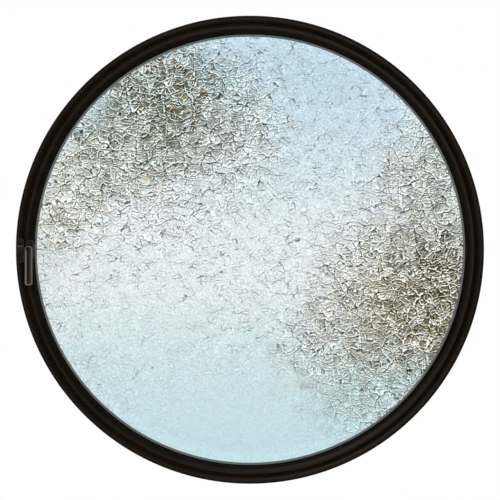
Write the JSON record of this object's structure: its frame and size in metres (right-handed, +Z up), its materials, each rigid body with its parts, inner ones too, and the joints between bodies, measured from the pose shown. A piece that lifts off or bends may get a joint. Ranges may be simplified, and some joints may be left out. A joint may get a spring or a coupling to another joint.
{
  "type": "round casement window",
  "caption": "Round side-hung casement window that opens outwards, with obscured crackle glass in a slim dark metal sash and frame, a cam handle and its keeper.",
  "frame": {"origin": "centre of the round rim, halfway through the frame's depth", "axes": "+Y along the window's axis to the outside, +X to the hinges, +Z up"},
  "size_m": [1.4998, 0.138, 1.4998],
  "materials": {
    "frame_paint": "satin",
    "handle_paint": "satin",
    "dark_steel": "satin",
    "black_rubber": "matte",
    "grey_rubber": "matte",
    "spacer_foam": "matte",
    "block_plastic": "matte",
    "crackle_glass": "crackle texture",
    "clear_glass": "polished"
  },
  "bodies": {
    "frame": {"outer_frame": "frame_paint", "frame_seal": "black_rubber", "keeper": "handle_paint", "keeper_wedge": "handle_paint", "keeper_screws": "dark_steel", "hinge_frame_barrels": "frame_paint", "hinge_pins": "dark_steel"},
    "sash": {"sash_ring": "frame_paint", "glazing_bead": "frame_paint", "inner_pane": "crackle_glass", "outer_pane": "clear_glass", "edge_spacer": "spacer_foam", "inner_gasket": "grey_rubber", "outer_gasket": "black_rubber", "setting_blocks": "block_plastic", "location_blocks": "block_plastic", "hinge_sash_barrels": "frame_paint", "handle_base": "handle_paint"},
    "handle": {"lever": "handle_paint", "spindle": "dark_steel"}
  },
  "joints": [
    {"name": "sash_swing", "type": "hinge", "parent": "frame", "child": "sash", "pos_m": [0.728, 0.046, 0], "axis": [0, 0, -1], "range_deg": [0, 90]},
    {"name": "handle_turn", "type": "hinge", "parent": "sash", "child": "handle", "pos_m": [-0.703, -0.045, 0], "axis": [0, -1, 0], "range_deg": [0, 90]}
  ]
}
